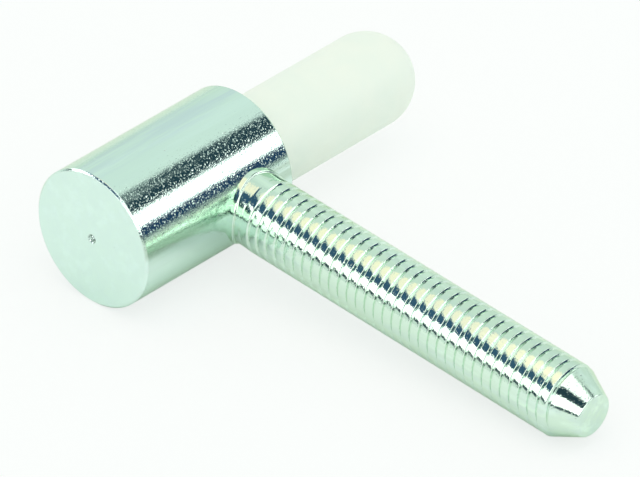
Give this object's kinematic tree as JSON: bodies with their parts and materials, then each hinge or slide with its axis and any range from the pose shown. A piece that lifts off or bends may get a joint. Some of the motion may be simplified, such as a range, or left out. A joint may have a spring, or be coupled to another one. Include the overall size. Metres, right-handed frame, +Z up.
{
  "type": "screw-in hinge bottom half",
  "caption": "Plated steel barrel with a domed white bearing sleeve standing on its end and a long threaded stud set square in its side, the fixed half of a screw-in hinge.",
  "frame": {"origin": "on the hinge axis, in the barrel's bearing face, which the top half of the hinge turns on", "axes": "+Y along the hinge axis, out of the bearing face and towards the domed end of the sleeve. +Z up from the surface that the loose half lies on, which is the plane z = -7.5 mm. +X along that surface, the way the stud points: the stud itself leans 4.19 degrees down from +X."},
  "size_m": [0.06, 0.0445, 0.015],
  "materials": {
    "plated_steel": "gloss",
    "ground_steel": "satin",
    "white_plastic": "satin"
  },
  "bodies": {
    "root": {"barrel": "plated_steel", "threaded_stud": "plated_steel", "hinge_pin": "ground_steel", "bearing_sleeve": "white_plastic"}
  },
  "joints": []
}
